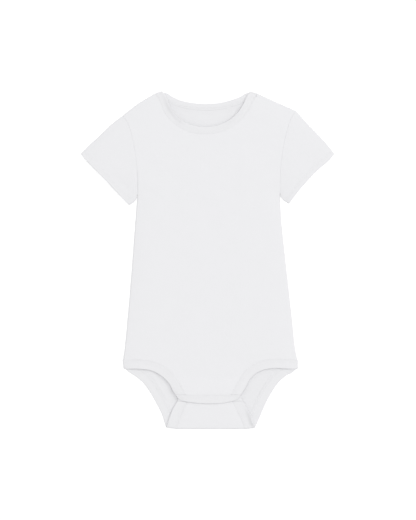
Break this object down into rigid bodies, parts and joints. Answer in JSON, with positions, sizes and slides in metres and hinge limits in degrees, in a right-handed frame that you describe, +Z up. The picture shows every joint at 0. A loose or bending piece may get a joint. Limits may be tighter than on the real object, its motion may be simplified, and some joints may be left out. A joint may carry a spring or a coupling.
{
  "type": "baby bodysuit",
  "caption": "Short-sleeved baby bodysuit lying flat on its back, with banded neck and leg openings and a crotch flap closed over the folded-up tail",
  "frame": {"origin": "on the surface under the middle of the garment's outline", "axes": "X across the garment, to the right as seen from above; Y up the garment towards the neck; Z up from the surface"},
  "size_m": [0.3166, 0.422, 0.0069],
  "materials": {
    "jersey": "matt white cotton jersey",
    "rib": "matt white cotton binding",
    "snap_plastic": "satin",
    "thread": "white sewing thread"
  },
  "bodies": {
    "root": {"front_panel": "jersey", "back_panel": "jersey", "sleeve_left": "jersey", "sleeve_right": "jersey", "neck_band": "rib", "leg_band_left": "rib", "leg_band_right": "rib", "flap_band": "rib", "tail_band": "rib", "snap_1": "snap_plastic", "snap_2": "snap_plastic", "snap_3": "snap_plastic"}
  },
  "joints": []
}
